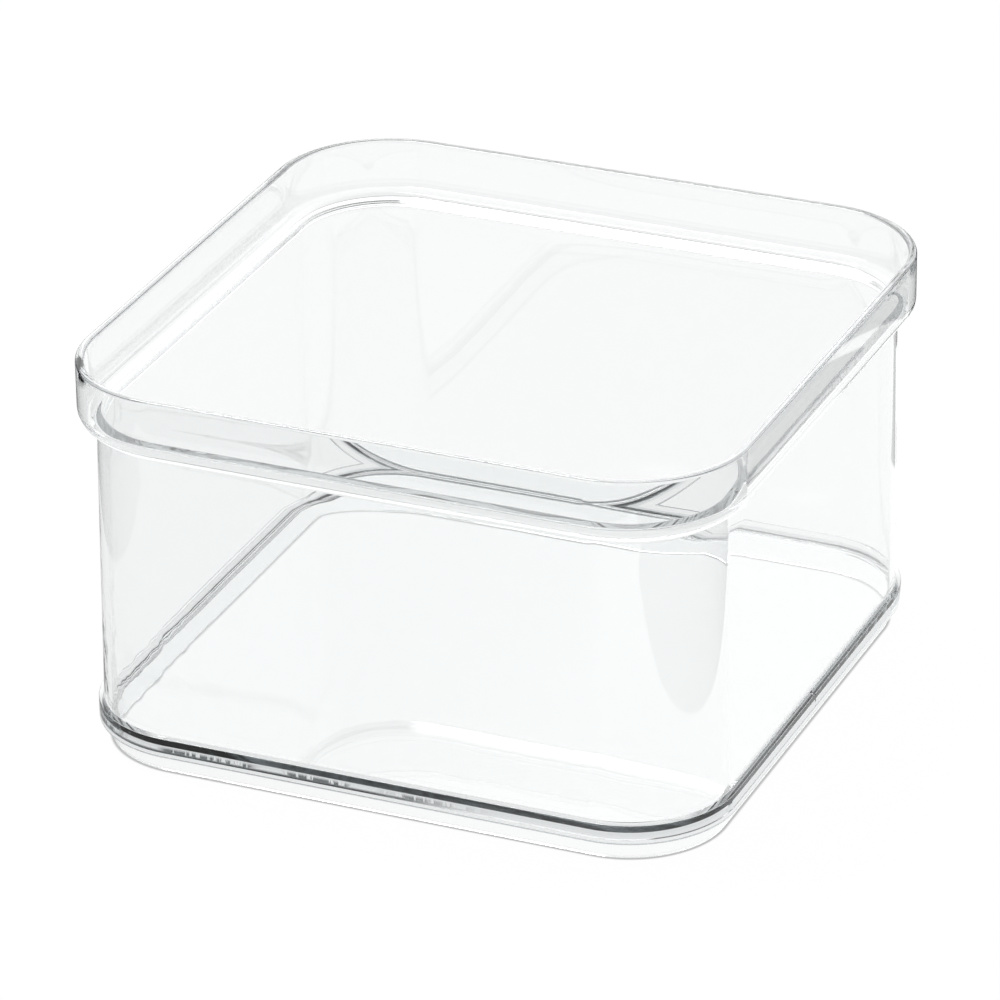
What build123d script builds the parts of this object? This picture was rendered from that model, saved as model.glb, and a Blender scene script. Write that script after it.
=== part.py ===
"""Clear stacking fridge bin: a walled shell, a base tray let into it from below, and the weld between.

Millimetres, +Z up. The origin is at the middle of the footprint, on the surface the foot stands on.
Every ring of the bin is one section carried round the same rounded square. A section is drawn in
(inset, height), where inset is the distance in from the widest face, the outside of the collar.
"""

from build123d import *
import os
from math import cos, radians

# Overall size
WIDTH = 160.5  # outside of the collar, the same both ways
HEIGHT = 95.5
CORNER_RADIUS = 28.0  # outside of the collar, seen from above

# Collar
COLLAR_WALL = 2.0
COLLAR_FOOT = 84.2  # height where its outer face starts to turn in
RIM_ROUND = 0.85  # on both edges of the rim

# Shoulder: outside, an arc that turns in and a second that turns back down to the wall
SHOULDER_TURN = 76.0  # degrees
SHOULDER_INSET = 4.3
SHOULDER_RADIUS = 4.6  # of the first arc

# Ledge: inside the shoulder, flat, where a stacked bin's foot comes to rest
LEDGE_TOP = 83.5
LEDGE_CORNER_ROUND = 0.5  # where the collar runs into it
LEDGE_LIP_ROUND = 1.0  # where it rolls over into the wall

# Walls: they lean out towards the floor, so that the core draws out through the open bottom
WALL = 1.7
WALL_FOOT_INSET = 3.5

# Bead round the bottom of the shell, with a rebate inside it that takes the tray
BEAD_INSET = 2.25
BEAD_TOP = 9.7
BEAD_BOTTOM = 4.8
BEAD_RISE = 0.35  # from its top edge in to the wall
BEAD_TOP_ROUND = 0.2
BEAD_BOTTOM_ROUND = 0.3
REBATE_INSET = 3.9
REBATE_TOP = 8.75

# Weld between shell and tray
WELD = 0.15
WELD_BOTTOM = 5.6

# Base tray: floor panel, the rim that sits in the rebate, and the foot ring
TRAY_INSET = REBATE_INSET + WELD
FLOOR_TOP = REBATE_TOP - WELD
FLOOR = 2.0
FOOT_INSET = 5.0
FOOT_WALL = 1.5
FOOT_DRAFT = 0.15  # each face of the foot leans this much, and it is thinnest where it stands
FOOT_ROUND = 0.4

HALF = WIDTH / 2
STRAIGHT = HALF - CORNER_RADIUS
ACROSS_FRONT_WALL = Plane(origin=(0, -HALF, 0), x_dir=(0, 1, 0), z_dir=(1, 0, 0))


def shoulder(start):
    """The two arcs of the shoulder's outer face, down from start. Returns the point where they end."""
    both_radii = SHOULDER_INSET / (1 - cos(radians(SHOULDER_TURN)))
    first = JernArc(start=start, tangent=(0, -1), radius=SHOULDER_RADIUS, arc_size=SHOULDER_TURN)
    second = JernArc(
        start=first @ 1,
        tangent=first % 1,
        radius=both_radii - SHOULDER_RADIUS,
        arc_size=-SHOULDER_TURN,
    )
    return second @ 1


# The rounded square that each section is carried round, from the middle of the front wall
with BuildLine() as round_line:
    side = Line((0, -HALF), (STRAIGHT, -HALF))
    for length in (2 * STRAIGHT, 2 * STRAIGHT, 2 * STRAIGHT, STRAIGHT):
        corner = JernArc(start=side @ 1, tangent=side % 1, radius=CORNER_RADIUS, arc_size=90)
        side = Line(corner @ 1, corner @ 1 + (corner % 1) * length)

# Wall shell: collar, shoulder, walls and bead in one moulding, open top and bottom
with BuildPart() as wall_shell:
    with BuildSketch(ACROSS_FRONT_WALL) as shell_section:
        with BuildLine():
            wall_top = shoulder((0, COLLAR_FOOT))
            Polyline(
                wall_top,
                (WALL_FOOT_INSET, BEAD_TOP + BEAD_RISE),
                (BEAD_INSET, BEAD_TOP),
                (BEAD_INSET, BEAD_BOTTOM),
                (REBATE_INSET, BEAD_BOTTOM),
                (REBATE_INSET, REBATE_TOP),
                (WALL_FOOT_INSET + WALL, REBATE_TOP),
                (SHOULDER_INSET + WALL, LEDGE_TOP),
                (COLLAR_WALL, LEDGE_TOP),
                (COLLAR_WALL, HEIGHT),
                (0, HEIGHT),
                (0, COLLAR_FOOT),
            )
        make_face()
        for corner_spot, radius in (
            ((0, HEIGHT), RIM_ROUND),
            ((COLLAR_WALL, HEIGHT), RIM_ROUND),
            ((COLLAR_WALL, LEDGE_TOP), LEDGE_CORNER_ROUND),
            ((SHOULDER_INSET + WALL, LEDGE_TOP), LEDGE_LIP_ROUND),
            ((BEAD_INSET, BEAD_TOP), BEAD_TOP_ROUND),
            ((BEAD_INSET, BEAD_BOTTOM), BEAD_BOTTOM_ROUND),
        ):
            fillet(shell_section.vertices().sort_by_distance(corner_spot)[0], radius)
    sweep(path=round_line.wire())

# Base tray: the floor panel, with its rim and the foot ring carried round under it
with BuildPart() as base_tray:
    with BuildSketch(Plane.XY.offset(FLOOR_TOP - FLOOR)):
        panel = WIDTH - 2 * TRAY_INSET
        RectangleRounded(panel, panel, CORNER_RADIUS - TRAY_INSET)
    extrude(amount=FLOOR)
    with BuildSketch(ACROSS_FRONT_WALL) as foot_section:
        with BuildLine():
            Polyline(
                (TRAY_INSET, FLOOR_TOP),
                (TRAY_INSET, WELD_BOTTOM),
                (FOOT_INSET - FOOT_DRAFT, WELD_BOTTOM),
                (FOOT_INSET, 0),
                (FOOT_INSET + FOOT_WALL, 0),
                (FOOT_INSET + FOOT_WALL + FOOT_DRAFT, FLOOR_TOP),
                close=True,
            )
        make_face()
        fillet(foot_section.vertices().sort_by(Axis.Y)[:2], FOOT_ROUND)
    sweep(path=round_line.wire())

# Bond seam: the weld, an angle that fills the gap over and outside the tray's rim
with BuildPart() as bond_seam:
    with BuildSketch(ACROSS_FRONT_WALL):
        with BuildLine():
            Polyline(
                (REBATE_INSET, WELD_BOTTOM),
                (REBATE_INSET, REBATE_TOP),
                (WALL_FOOT_INSET + WALL, REBATE_TOP),
                (WALL_FOOT_INSET + WALL, FLOOR_TOP),
                (TRAY_INSET, FLOOR_TOP),
                (TRAY_INSET, WELD_BOTTOM),
                close=True,
            )
        make_face()
    sweep(path=round_line.wire())

wall_shell.part.label = "wall_shell"
base_tray.part.label = "base_tray"
bond_seam.part.label = "bond_seam"

os.makedirs("parts", exist_ok=True)
export_step(wall_shell.part, "parts/wall_shell.step")
export_step(base_tray.part, "parts/base_tray.step")
export_step(bond_seam.part, "parts/bond_seam.step")
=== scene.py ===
"""Clear stacking fridge bin: the finished look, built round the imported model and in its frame.

Metres, +Z up, origin at the middle of the footprint on the surface the foot stands on. Sections are
drawn in millimetres as (inset, height), where inset is the distance in from the widest face, the
outside of the collar, and every ring is one section carried round the same rounded square.
"""

from math import atan2, cos, degrees, hypot, radians, sin

import bmesh
import bpy
from mathutils import Matrix, Vector


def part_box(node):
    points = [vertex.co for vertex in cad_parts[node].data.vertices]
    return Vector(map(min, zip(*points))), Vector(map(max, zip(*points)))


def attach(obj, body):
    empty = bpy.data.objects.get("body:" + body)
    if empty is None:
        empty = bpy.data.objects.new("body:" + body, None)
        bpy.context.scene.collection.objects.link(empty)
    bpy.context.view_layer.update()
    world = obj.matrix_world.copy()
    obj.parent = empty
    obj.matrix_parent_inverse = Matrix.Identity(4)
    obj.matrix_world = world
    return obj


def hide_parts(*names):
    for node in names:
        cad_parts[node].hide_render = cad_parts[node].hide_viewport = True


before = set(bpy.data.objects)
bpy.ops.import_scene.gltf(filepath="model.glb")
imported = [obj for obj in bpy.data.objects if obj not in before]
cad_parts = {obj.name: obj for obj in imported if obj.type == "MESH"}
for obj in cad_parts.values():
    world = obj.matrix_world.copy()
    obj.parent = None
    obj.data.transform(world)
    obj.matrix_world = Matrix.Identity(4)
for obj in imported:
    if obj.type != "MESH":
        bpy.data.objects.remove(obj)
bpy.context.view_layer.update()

MM = 0.001

# Overall size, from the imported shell
shell_low, shell_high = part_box("wall_shell")
HALF = shell_high[0]
HEIGHT = shell_high[2] / MM
CORNER_RADIUS = 28.0
STRAIGHT = HALF - CORNER_RADIUS * MM  # from the middle of a side to where its corner starts

# Collar and rim
COLLAR_WALL = 2.0
COLLAR_FOOT = 84.2
RIM_ROUND = 0.85

# Shoulder outside, in two opposite arcs, and the flat ledge inside it
SHOULDER_TURN = 76.0
SHOULDER_INSET = 4.3
SHOULDER_RADIUS = 4.6
LEDGE_TOP = 83.5
LEDGE_CORNER_ROUND = 0.5
LEDGE_LIP_ROUND = 1.0

# Wall
WALL = 1.7
WALL_FOOT_INSET = 3.5
WALL_ROWS = 12

# Bead and its rebate
BEAD_INSET = 2.25
BEAD_TOP = 9.7
BEAD_BOTTOM = 4.8
BEAD_RISE = 0.35
BEAD_TOP_ROUND = 0.2
BEAD_BOTTOM_ROUND = 0.3
REBATE_INSET = 3.9
REBATE_TOP = 8.75

# Weld, and the hairline left between the modelled pieces so that no two faces lie in one place
WELD = 0.15
WELD_BOTTOM = 5.6
HAIRLINE = 0.02

# Tray
TRAY_INSET = REBATE_INSET + WELD
FLOOR = 2.0
FLOOR_TOP = REBATE_TOP - WELD
FLOOR_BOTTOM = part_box("base_tray")[1][2] / MM - FLOOR
FOOT_INSET = 5.0
FOOT_WALL = 1.5
FOOT_DRAFT = 0.15
FOOT_ROUND = 0.4
PANEL_EDGE = 9.0  # inset of the tray's last ring of faces, inside which the panel is one flat face

# How finely the rings are divided, and the least angle, in degrees, that stays a sharp edge
CORNER_STEPS = 40
SIDE_STEPS = 8
ARC_STEPS = 10
ROUND_STEPS = 6
SHARP_ANGLE = 28.0

SAME_PLACE = 1e-7  # in metres: points nearer than this are one point
ON_UPRIGHT = 0.05  # in mm: how near a face's middle lies to an upright face that it belongs to
ON_LEVEL = 0.01  # in mm: the same for a level face


# ---- Sections and rings ----


def place(point):
    """A section point (inset, height) in mm, where the front wall meets its right-hand corner."""
    inset, height = point
    return Vector((STRAIGHT, inset * MM - HALF, height * MM))


def inset_of(spot):
    """How far in from the widest face a spot lies, in mm."""
    beyond = hypot(max(abs(spot.x) - STRAIGHT, 0), max(abs(spot.y) - STRAIGHT, 0))
    return CORNER_RADIUS - beyond / MM


class Section:
    """An outline drawn as a pen draws it, then carried round the bin."""

    def __init__(self, start):
        self.mesh = bmesh.new()
        self.tip = self.mesh.verts.new(place(start))

    def line(self, point, parts=1):
        """Straight on from the pen's tip to point."""
        start, goal = self.tip.co.copy(), place(point)
        for part in range(1, parts + 1):
            self.tip = bmesh.ops.extrude_vert_indiv(self.mesh, verts=[self.tip])["verts"][0]
            self.tip.co = start.lerp(goal, part / parts)

    def arc(self, centre, turn, steps=ARC_STEPS):
        """Round centre from the pen's tip, anticlockwise with inset to the right and height up."""
        turned = bmesh.ops.spin(
            self.mesh,
            geom=[self.tip],
            cent=place(centre),
            axis=(1, 0, 0),
            angle=radians(turn),
            steps=steps,
        )
        self.tip = turned["geom_last"][0]

    def carry_round(self):
        """Spins the outline round one corner, draws its two ends out to the middles of their walls
        and mirrors that quarter both ways."""
        bm = self.mesh
        bmesh.ops.remove_doubles(bm, verts=bm.verts, dist=SAME_PLACE)
        turned = bmesh.ops.spin(
            bm,
            geom=bm.verts[:] + bm.edges[:],
            cent=(STRAIGHT, -STRAIGHT, 0),
            axis=(0, 0, 1),
            angle=radians(90),
            steps=CORNER_STEPS,
        )
        last = [item for item in turned["geom_last"] if isinstance(item, bmesh.types.BMEdge)]
        first = [
            edge
            for edge in bm.edges
            if all(abs(v.co.x - STRAIGHT) < SAME_PLACE for v in edge.verts)
        ]
        stride = STRAIGHT / SIDE_STEPS
        for edges, step in ((first, (-stride, 0, 0)), (last, (0, stride, 0))):
            for _ in range(SIDE_STEPS):
                made = bmesh.ops.extrude_edge_only(bm, edges=edges)["geom"]
                moved = [item for item in made if isinstance(item, bmesh.types.BMVert)]
                edges = [item for item in made if isinstance(item, bmesh.types.BMEdge)]
                edges = [edge for edge in edges if all(v in moved for v in edge.verts)]
                bmesh.ops.translate(bm, verts=moved, vec=step)
        for axis in ("X", "Y"):
            whole = bm.verts[:] + bm.edges[:] + bm.faces[:]
            bmesh.ops.mirror(
                bm, geom=whole, matrix=Matrix.Identity(4), merge_dist=SAME_PLACE, axis=axis
            )
        bmesh.ops.remove_doubles(bm, verts=bm.verts, dist=SAME_PLACE)
        return bm


def finish_piece(bm, name, node, materials, material_at):
    """Turns a ring into the piece that stands for a CAD node. material_at gives which of the
    materials a face takes, from its middle's inset and height."""
    bmesh.ops.recalc_face_normals(bm, faces=bm.faces)
    for face in bm.faces:
        face.smooth = True
        middle = face.calc_center_median()
        face.material_index = int(material_at(inset_of(middle), middle.z / MM))
    mesh = bpy.data.meshes.new(name)
    bm.to_mesh(mesh)
    bm.free()
    mesh.set_sharp_from_angle(angle=radians(SHARP_ANGLE))
    piece = bpy.data.objects.new(name, mesh)
    bpy.context.scene.collection.objects.link(piece)
    for material in materials:
        mesh.materials.append(material)
    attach(piece, "root")
    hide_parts(node)
    return piece


# ---- Materials ----


def linear(hex_colour):
    """An sRGB hex colour as the linear RGBA that a socket takes."""
    channels = [int(hex_colour[i : i + 2], 16) / 255 for i in (1, 3, 5)]
    return [c / 12.92 if c <= 0.04045 else ((c + 0.055) / 1.055) ** 2.4 for c in channels] + [1.0]


def add(tree, kind, links=(), **settings):
    """Adds a node. A setting that names an input sets that socket; any other sets a property.
    links are (input, output socket) pairs."""
    node = tree.nodes.new(kind)
    for key, value in settings.items():
        if key.islower() and hasattr(node, key):
            setattr(node, key, value)
        else:
            node.inputs[key.replace("_", " ")].default_value = value
    for key, socket in links:
        tree.links.new(socket, node.inputs[key])
    return node


def ramp(tree, value, low, high, to_low=0.0, to_high=1.0):
    """Eases from to_low, where value is low, to to_high, where it is high. low may exceed high."""
    return add(
        tree,
        "ShaderNodeMapRange",
        [("Value", value)],
        interpolation_type="SMOOTHSTEP",
        From_Min=low,
        From_Max=high,
        To_Min=to_low,
        To_Max=to_high,
    ).outputs["Result"]


def maths(tree, operation, first, second=0.0):
    """first and second are sockets, or second is a plain number."""
    if isinstance(second, float):
        node = add(tree, "ShaderNodeMath", [(0, first)], operation=operation)
        node.inputs[1].default_value = second
    else:
        node = add(tree, "ShaderNodeMath", [(0, first), (1, second)], operation=operation)
    return node.outputs["Value"]


def noise(tree, where, wave, detail=1.0):
    """Cloudy variation between 0 and 1 whose features are about wave metres across."""
    return add(
        tree, "ShaderNodeTexNoise", [("Vector", where)], Scale=1 / wave, Detail=detail
    ).outputs["Fac"]


def new_material(name):
    material = bpy.data.materials.new(name)
    material.use_nodes = True
    material.node_tree.nodes.clear()
    return material, material.node_tree


PLASTIC_IOR = 1.57  # styrene
CLEAR = "#fafbfb"
EDGE_TINT = "#90999d"
EDGE_DENSITY = 7.2  # how strongly that colours light, per metre of its path in the plastic

# Flow ripples in the shell, in mm: where they are, how far they spread, how far apart and how deep
RIPPLE_SPOTS = ((-70.0, -78.0, 20.0),)
RIPPLE_REACH = 45.0
RIPPLE_FULL = 0.2 * RIPPLE_REACH  # inside this they are at full depth
RIPPLE_WAVE = 9.0
RIPPLE_DEPTH = 0.12

# Voids in the weld's outer face, in mm, their dark look painted in as shade. A pair is where they
# start to show, then where they are at their fullest.
# Painted shade: this dark grey, mixed into the weld's clear colour, stands for the shade its voids
# show
VOID_PAINTED_SHADE = "#34383a"
FLECK_WIDTH = 1.1
FLECK_ASPECT = 0.15  # a fleck's width over its height
PATCH_WIDTH = 14.0
FLECK_HEIGHTS = (7.6, 6.6)
FOOT_LINE_HEIGHTS = (6.6, 6.0)
VOIDS_ALONG_X = (35.0, 5.0)


def finish_clear(tree, colour=CLEAR, links=(), ior=PLASTIC_IOR):
    """The clear body that every plastic here shares: Principled surface and absorbing volume."""
    shader = add(
        tree,
        "ShaderNodeBsdfPrincipled",
        links,
        Base_Color=linear(colour),
        Roughness=0.0,
        IOR=ior,
        Transmission_Weight=1.0,
    )
    tint = add(tree, "ShaderNodeVolumeAbsorption", Color=linear(EDGE_TINT), Density=EDGE_DENSITY)
    add(
        tree,
        "ShaderNodeOutputMaterial",
        [("Surface", shader.outputs["BSDF"]), ("Volume", tint.outputs["Volume"])],
    )


def clear_plastic(name, wave_mm, depth_mm, ripple_spots=()):
    """Injection-moulded clear plastic off a polished mould: colourless face on, grey-green where
    light has run a long way along inside it, with the slow waviness of a cooled moulding and, round
    each ripple spot, the closer flow ripples that make what is seen through it wobble."""
    material, tree = new_material(name)
    where = add(tree, "ShaderNodeTexCoord").outputs["Object"]
    height = maths(tree, "MULTIPLY", noise(tree, where, wave_mm * MM), depth_mm * MM)
    for spot in ripple_spots:
        away = add(tree, "ShaderNodeVectorMath", [(0, where)], operation="DISTANCE")
        away.inputs[1].default_value = [v * MM for v in spot]
        near = ramp(tree, away.outputs["Value"], RIPPLE_REACH * MM, RIPPLE_FULL * MM)
        waves = noise(tree, where, RIPPLE_WAVE * MM, 2.0)
        ripple = maths(tree, "MULTIPLY", waves, RIPPLE_DEPTH * MM)
        height = maths(tree, "ADD", height, maths(tree, "MULTIPLY", ripple, near))
    bump = add(tree, "ShaderNodeBump", [("Height", height)], Strength=1.0, Distance=1.0)
    finish_clear(tree, links=[("Normal", bump.outputs["Normal"])])
    return material


def fused_face(name):
    """Where two pieces are melted together no surface is left to see, so light goes straight on."""
    material, tree = new_material(name)
    finish_clear(tree, "#ffffff", ior=1.0)
    return material


def weld_voids_painted_shade(name):
    """The weld's outer face, with trapped air in it whose dark look is painted shade: a dark grey
    line along its foot and patches of upright flecks over that, fading out towards the top and to
    the right."""
    material, tree = new_material(name)
    where = add(tree, "ShaderNodeTexCoord").outputs["Object"]
    spot = add(tree, "ShaderNodeSeparateXYZ", [(0, where)])
    drawn_up = add(tree, "ShaderNodeMapping", [("Vector", where)])
    drawn_up.inputs["Scale"].default_value = (1, 1, FLECK_ASPECT)
    specks = noise(tree, drawn_up.outputs["Vector"], FLECK_WIDTH * MM, 2.0)
    flecks = ramp(tree, specks, 0.62, 0.5)
    patches = ramp(tree, noise(tree, where, PATCH_WIDTH * MM), 0.38, 0.52)
    lower = ramp(tree, spot.outputs["Z"], *(v * MM for v in FLECK_HEIGHTS))
    foot = ramp(tree, spot.outputs["Z"], *(v * MM for v in FOOT_LINE_HEIGHTS))
    patchy = maths(tree, "MULTIPLY", maths(tree, "MULTIPLY", flecks, patches), lower)
    left = ramp(tree, spot.outputs["X"], *(v * MM for v in VOIDS_ALONG_X))
    # Painted shade: where the voids' dark grey is mixed into the weld's colour
    dark = maths(tree, "MULTIPLY", maths(tree, "MAXIMUM", foot, patchy), left)
    colour = add(tree, "ShaderNodeMix", [(0, dark)], data_type="RGBA")
    # The node has an A, a B and a Result for each kind of value. These are the colour ones.
    colour.inputs[6].default_value = linear(CLEAR)
    colour.inputs[7].default_value = linear(VOID_PAINTED_SHADE)
    finish_clear(tree, links=[("Base Color", colour.outputs[2])], ior=1.0)
    return material


# ---- Pieces ----


def wall_shell(materials):
    """Collar, shoulder, walls and bead."""
    pen = Section((0, COLLAR_FOOT))
    pen.line((0, HEIGHT - RIM_ROUND), 2)
    pen.arc((RIM_ROUND, HEIGHT - RIM_ROUND), -90)
    pen.line((COLLAR_WALL - RIM_ROUND, HEIGHT))
    pen.arc((COLLAR_WALL - RIM_ROUND, HEIGHT - RIM_ROUND), -90)
    pen.line((COLLAR_WALL, LEDGE_TOP + LEDGE_CORNER_ROUND), 2)
    pen.arc((COLLAR_WALL + LEDGE_CORNER_ROUND, LEDGE_TOP + LEDGE_CORNER_ROUND), 90)
    lip = SHOULDER_INSET + WALL - LEDGE_LIP_ROUND
    pen.line((lip, LEDGE_TOP))
    pen.arc((lip, LEDGE_TOP - LEDGE_LIP_ROUND), -90)
    pen.line((WALL_FOOT_INSET + WALL, REBATE_TOP), WALL_ROWS)
    pen.line((REBATE_INSET, REBATE_TOP))
    pen.line((REBATE_INSET, BEAD_BOTTOM))
    pen.line((BEAD_INSET + BEAD_BOTTOM_ROUND, BEAD_BOTTOM))
    pen.arc((BEAD_INSET + BEAD_BOTTOM_ROUND, BEAD_BOTTOM + BEAD_BOTTOM_ROUND), -90, ROUND_STEPS)
    pen.line((BEAD_INSET, BEAD_TOP - BEAD_TOP_ROUND))
    bead_slope = degrees(atan2(BEAD_RISE, WALL_FOOT_INSET - BEAD_INSET))
    pen.arc((BEAD_INSET + BEAD_TOP_ROUND, BEAD_TOP - BEAD_TOP_ROUND), bead_slope - 90, ROUND_STEPS)
    pen.line((WALL_FOOT_INSET, BEAD_TOP + BEAD_RISE))
    both_radii = SHOULDER_INSET / (1 - cos(radians(SHOULDER_TURN)))
    wall_top = COLLAR_FOOT - both_radii * sin(radians(SHOULDER_TURN))
    pen.line((SHOULDER_INSET, wall_top), WALL_ROWS)
    pen.arc((SHOULDER_INSET - both_radii + SHOULDER_RADIUS, wall_top), SHOULDER_TURN)
    pen.arc((SHOULDER_RADIUS, COLLAR_FOOT), -SHOULDER_TURN)
    bm = pen.carry_round()

    def in_rebate(inset, height):
        on_side = abs(inset - REBATE_INSET) < ON_UPRIGHT and BEAD_BOTTOM < height < REBATE_TOP
        on_top = abs(height - REBATE_TOP) < ON_LEVEL and inset > REBATE_INSET
        return on_side or on_top

    return finish_piece(bm, "shell", "wall_shell", materials, in_rebate)


def base_tray(materials):
    """Floor panel, its rim in the rebate, and the foot ring."""
    edge = TRAY_INSET + HAIRLINE
    pen = Section((PANEL_EDGE, FLOOR_TOP - HAIRLINE))
    pen.line((WALL_FOOT_INSET + WALL, FLOOR_TOP - HAIRLINE))
    pen.line((edge, FLOOR_TOP - HAIRLINE))
    pen.line((edge, WELD_BOTTOM))
    pen.line((FOOT_INSET - FOOT_DRAFT, WELD_BOTTOM))
    pen.line((FOOT_INSET, FOOT_ROUND))
    pen.arc((FOOT_INSET + FOOT_ROUND, FOOT_ROUND), 90, ROUND_STEPS)
    pen.line((FOOT_INSET + FOOT_WALL - FOOT_ROUND, 0))
    pen.arc((FOOT_INSET + FOOT_WALL - FOOT_ROUND, FOOT_ROUND), 90, ROUND_STEPS)
    pen.line((FOOT_INSET + FOOT_WALL + FOOT_DRAFT, FLOOR_BOTTOM))
    pen.line((PANEL_EDGE, FLOOR_BOTTOM))
    bm = pen.carry_round()
    bmesh.ops.holes_fill(bm, edges=[edge for edge in bm.edges if edge.is_boundary], sides=0)

    def under_weld(inset, height):
        on_side = abs(inset - edge) < ON_UPRIGHT and height > WELD_BOTTOM
        on_panel = abs(height - FLOOR_TOP + HAIRLINE) < ON_LEVEL
        on_top = on_panel and inset < WALL_FOOT_INSET + WALL
        return on_side or on_top

    return finish_piece(bm, "tray", "base_tray", materials, under_weld)


def bond_seam(materials):
    """The weld: an angle that fills the gap over and outside the tray's rim."""
    outer, top = REBATE_INSET + HAIRLINE, REBATE_TOP - HAIRLINE
    pen = Section((outer, WELD_BOTTOM))
    pen.line((outer, top))
    pen.line((WALL_FOOT_INSET + WALL, top))
    pen.line((WALL_FOOT_INSET + WALL, FLOOR_TOP))
    pen.line((TRAY_INSET, FLOOR_TOP))
    pen.line((TRAY_INSET, WELD_BOTTOM))
    pen.line((outer, WELD_BOTTOM))
    bm = pen.carry_round()

    def melted(inset, height):
        if height < WELD_BOTTOM + ON_LEVEL or inset > WALL_FOOT_INSET + WALL - HAIRLINE:
            return 0
        return 2 if inset < outer + ON_UPRIGHT and height < top - ON_LEVEL else 1

    return finish_piece(bm, "weld", "bond_seam", materials, melted)


shell_plastic = clear_plastic("clear_styrene_moulded_shell", 18.0, 0.03, RIPPLE_SPOTS)
tray_plastic = clear_plastic("clear_styrene_moulded_tray", 24.0, 0.02)
weld_plastic = clear_plastic("clear_styrene_weld", 3.0, 0.03)
fused = fused_face("clear_styrene_fused_face")

shell = wall_shell([shell_plastic, fused])
tray = base_tray([tray_plastic, fused])
# The weld's third material paints the shade of its voids into its colour as dark grey
weld = bond_seam([weld_plastic, fused, weld_voids_painted_shade("clear_styrene_weld_voids")])

# ---- Floor, light and camera ----

CAMERA_AZIMUTH = 23.19
CAMERA_ELEVATION = 26.39
CAMERA_ROLL = -0.634
CAMERA_DISTANCE = 1.4976
CAMERA_LENS = 231.1
SIGHT_HEIGHT = 0.0353  # the camera's distance is measured to this height on the bin's axis
AIM_RIGHT = -0.00128  # where the sight line passes, from that point
AIM_UP = 0.00824

FLOOR_REACH = 1.5
FLOOR_GLOW = 0.985
SHADOW_GLOW = 0.5  # in the contact shadow
COVE_GLOW = 1.45
NEAR_GLOW = 0.15  # of the surround on the camera's side
SOFTBOX_SPOT = (-0.42, 0.0, 1.1)
SOFTBOX_SIZE = 0.45
SOFTBOX_WATTS = 6

POOL_REACH = 0.5
POOL_GLOW_LEFT, POOL_GLOW_RIGHT = 0.6, 1.15
POOL_GLOW_FROM, POOL_GLOW_TO = -40, 60  # x in mm, between which it brightens
# Where the reflected table is dark, in mm: x from, x to, y from, y to. They are placed one by one,
# as black cards are round clear things.
DARK_PATCHES = (
    (146, 600, -600, 200),
    (-600, -175, -600, 600),
    (-600, 600, -600, -240),
    (-600, 600, 220, 600),
    (-13, 5, 90, 600),
    (80, 104, 148, 600),
)
PATCH_SOFT = 6  # how wide a patch's edge is, in mm


def flat_sheet(name, reach, height):
    """A level square of scenery that reaches this far each way from the middle."""
    bm = bmesh.new()
    bmesh.ops.create_grid(bm, x_segments=1, y_segments=1, size=reach)
    bmesh.ops.translate(bm, verts=bm.verts, vec=(0, 0, height))
    mesh = bpy.data.meshes.new(name)
    bm.to_mesh(mesh)
    bm.free()
    sheet = bpy.data.objects.new(name, mesh)
    bpy.context.scene.collection.objects.link(sheet)
    return sheet


def studio_floor():
    """White opal acrylic lit from below, as clear things are shot on, with a contact shadow right
    under the foot ring."""
    floor = flat_sheet("studio_floor", FLOOR_REACH, -0.0001)
    material, tree = new_material("opal_acrylic_light_table")
    where = add(tree, "ShaderNodeTexCoord").outputs["Object"]
    folded = add(tree, "ShaderNodeVectorMath", [(0, where)], operation="ABSOLUTE")
    past = add(
        tree, "ShaderNodeVectorMath", [(0, folded.outputs["Vector"])], operation="SUBTRACT"
    )
    past.inputs[1].default_value = (STRAIGHT, STRAIGHT, 1.0)
    outward = add(tree, "ShaderNodeVectorMath", [(0, past.outputs["Vector"])], operation="MAXIMUM")
    beyond = add(tree, "ShaderNodeVectorMath", [(0, outward.outputs["Vector"])], operation="LENGTH")
    foot_middle = (CORNER_RADIUS - FOOT_INSET - FOOT_WALL / 2) * MM
    from_foot = maths(tree, "SUBTRACT", beyond.outputs["Value"], foot_middle)
    off_foot = maths(tree, "ABSOLUTE", from_foot)
    lit = ramp(tree, off_foot, 0.5 * FOOT_WALL * MM, FOOT_WALL * MM, SHADOW_GLOW, FLOOR_GLOW)
    shader = add(
        tree,
        "ShaderNodeBsdfPrincipled",
        [("Emission Strength", lit)],
        Base_Color=linear("#282828"),
        Roughness=0.6,
        Specular_IOR_Level=0.0,
        Emission_Color=linear("#ffffff"),
    )
    add(tree, "ShaderNodeOutputMaterial", [("Surface", shader.outputs["BSDF"])])
    floor.data.materials.append(material)
    floor.visible_glossy = False


def soft_light(name, spot, size, power):
    """A square softbox at spot that faces the bin."""
    data = bpy.data.lights.new(name, "AREA")
    data.shape = "SQUARE"
    data.size = size
    data.energy = power
    light = bpy.data.objects.new(name, data)
    light.location = spot
    light.rotation_euler = (Vector(spot) * -1).to_track_quat("-Z", "Y").to_euler()
    bpy.context.scene.collection.objects.link(light)


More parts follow.
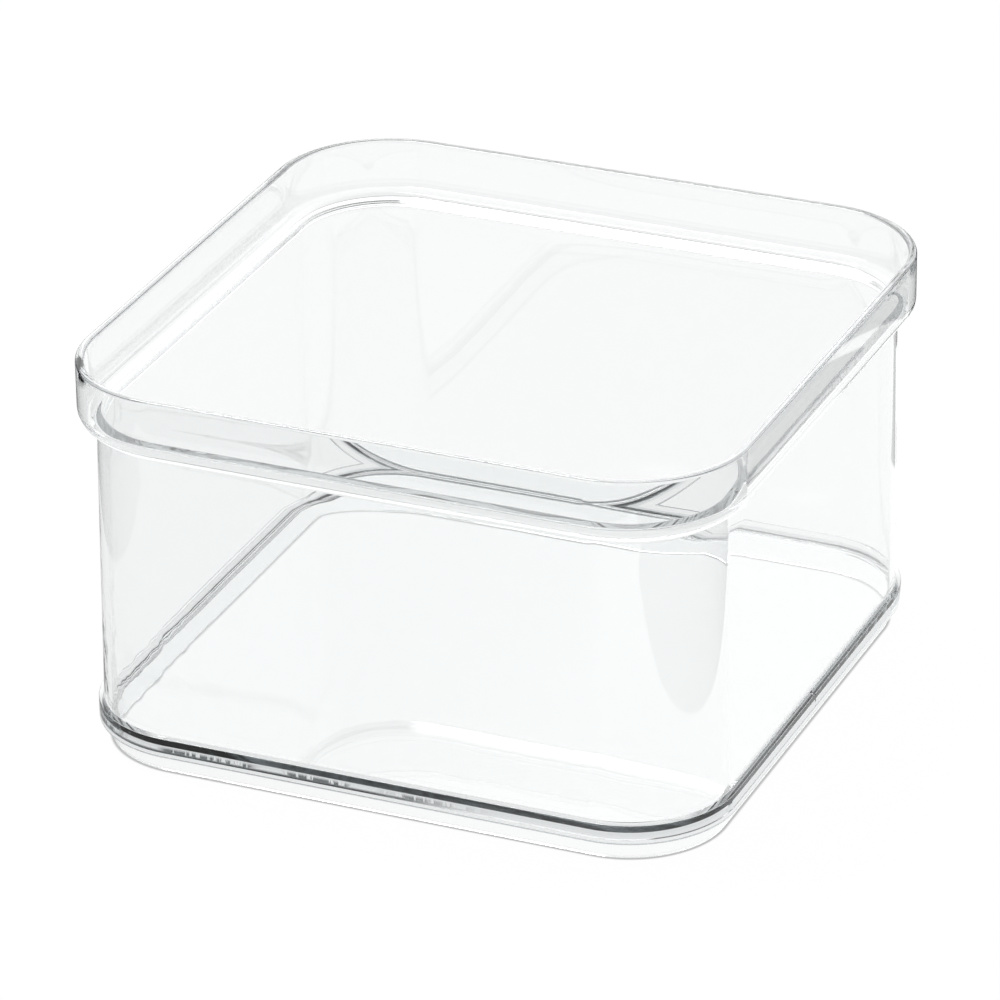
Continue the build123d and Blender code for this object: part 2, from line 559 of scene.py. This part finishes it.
def studio_surround():
    """A white cove behind the bin and above it, grey on the near side and dark below the table."""
    world = bpy.data.worlds.new("white_cove")
    world.use_nodes = True
    tree = world.node_tree
    tree.nodes.clear()
    where = add(tree, "ShaderNodeTexCoord").outputs["Generated"]
    away = add(tree, "ShaderNodeVectorMath", [(0, where)], operation="DOT_PRODUCT")
    azimuth = radians(CAMERA_AZIMUTH)
    away.inputs[1].default_value = (-sin(azimuth), cos(azimuth), 0.0)
    behind = ramp(tree, away.outputs["Value"], -0.5, 0.7, NEAR_GLOW, COVE_GLOW)
    up = add(tree, "ShaderNodeSeparateXYZ", [(0, where)])
    above = ramp(tree, up.outputs["Z"], -0.1, 0.1)
    strength = maths(tree, "MULTIPLY", behind, above)
    back = add(tree, "ShaderNodeBackground", [("Strength", strength)])
    back.inputs["Color"].default_value = linear("#ffffff")
    add(tree, "ShaderNodeOutputWorld", [("Surface", back.outputs["Background"])])
    bpy.context.scene.world = world


def light_pool():
    """What the bin mirrors of the table: white, brighter to the right, but for the dark patches
    that grey the collar and draw the outline. It lies just under the floor, where only reflections
    see it, because the floor itself is left out of them."""
    pool = flat_sheet("light_pool", POOL_REACH, -0.001)
    material, tree = new_material("light_pool_glow")
    where = add(tree, "ShaderNodeTexCoord").outputs["Object"]
    spot = add(tree, "ShaderNodeSeparateXYZ", [(0, where)])
    shade = None
    for patch in DARK_PATCHES:
        inside = None
        for socket, (low, high) in (("X", patch[:2]), ("Y", patch[2:])):
            for edge, beyond in ((low, low - PATCH_SOFT), (high, high + PATCH_SOFT)):
                side = ramp(tree, spot.outputs[socket], beyond * MM, edge * MM)
                inside = maths(tree, "MULTIPLY", inside, side) if inside else side
        shade = maths(tree, "MAXIMUM", shade, inside) if shade else inside
    rise = (POOL_GLOW_FROM * MM, POOL_GLOW_TO * MM, POOL_GLOW_LEFT, POOL_GLOW_RIGHT)
    glow = ramp(tree, spot.outputs["X"], *rise)
    glow = maths(tree, "MULTIPLY", glow, ramp(tree, shade, 1.0, 0.0))
    shader = add(
        tree,
        "ShaderNodeBsdfPrincipled",
        [("Emission Strength", glow)],
        Base_Color=linear("#000000"),
        Specular_IOR_Level=0.0,
        Emission_Color=linear("#ffffff"),
    )
    add(tree, "ShaderNodeOutputMaterial", [("Surface", shader.outputs["BSDF"])])
    pool.data.materials.append(material)


def studio_camera():
    azimuth, elevation = radians(CAMERA_AZIMUTH), radians(CAMERA_ELEVATION)
    back = Vector((sin(azimuth) * cos(elevation), -cos(azimuth) * cos(elevation), sin(elevation)))
    right = Vector((cos(azimuth), sin(azimuth), 0))
    up = back.cross(right)
    centre = Vector((0, 0, SIGHT_HEIGHT))
    roll = Matrix.Rotation(radians(CAMERA_ROLL), 3, back)
    aim = centre + roll @ right * AIM_RIGHT + roll @ up * AIM_UP
    data = bpy.data.cameras.new("camera")
    data.lens = CAMERA_LENS
    camera = bpy.data.objects.new("camera", data)
    camera.location = centre + back * CAMERA_DISTANCE
    camera.rotation_euler = (aim - camera.location).to_track_quat("-Z", "Y").to_euler()
    camera.rotation_euler.rotate_axis("Z", radians(CAMERA_ROLL))
    bpy.context.scene.collection.objects.link(camera)
    bpy.context.scene.camera = camera


studio_floor()
studio_surround()
light_pool()
soft_light("overhead_softbox", SOFTBOX_SPOT, SOFTBOX_SIZE, SOFTBOX_WATTS)
studio_camera()

bpy.context.scene.view_settings.view_transform = "Standard"
# Light runs along inside the clear walls by bouncing from face to face, so it is let bounce on
for limit in ("max_bounces", "glossy_bounces", "transmission_bounces"):
    setattr(bpy.context.scene.cycles, limit, 96)
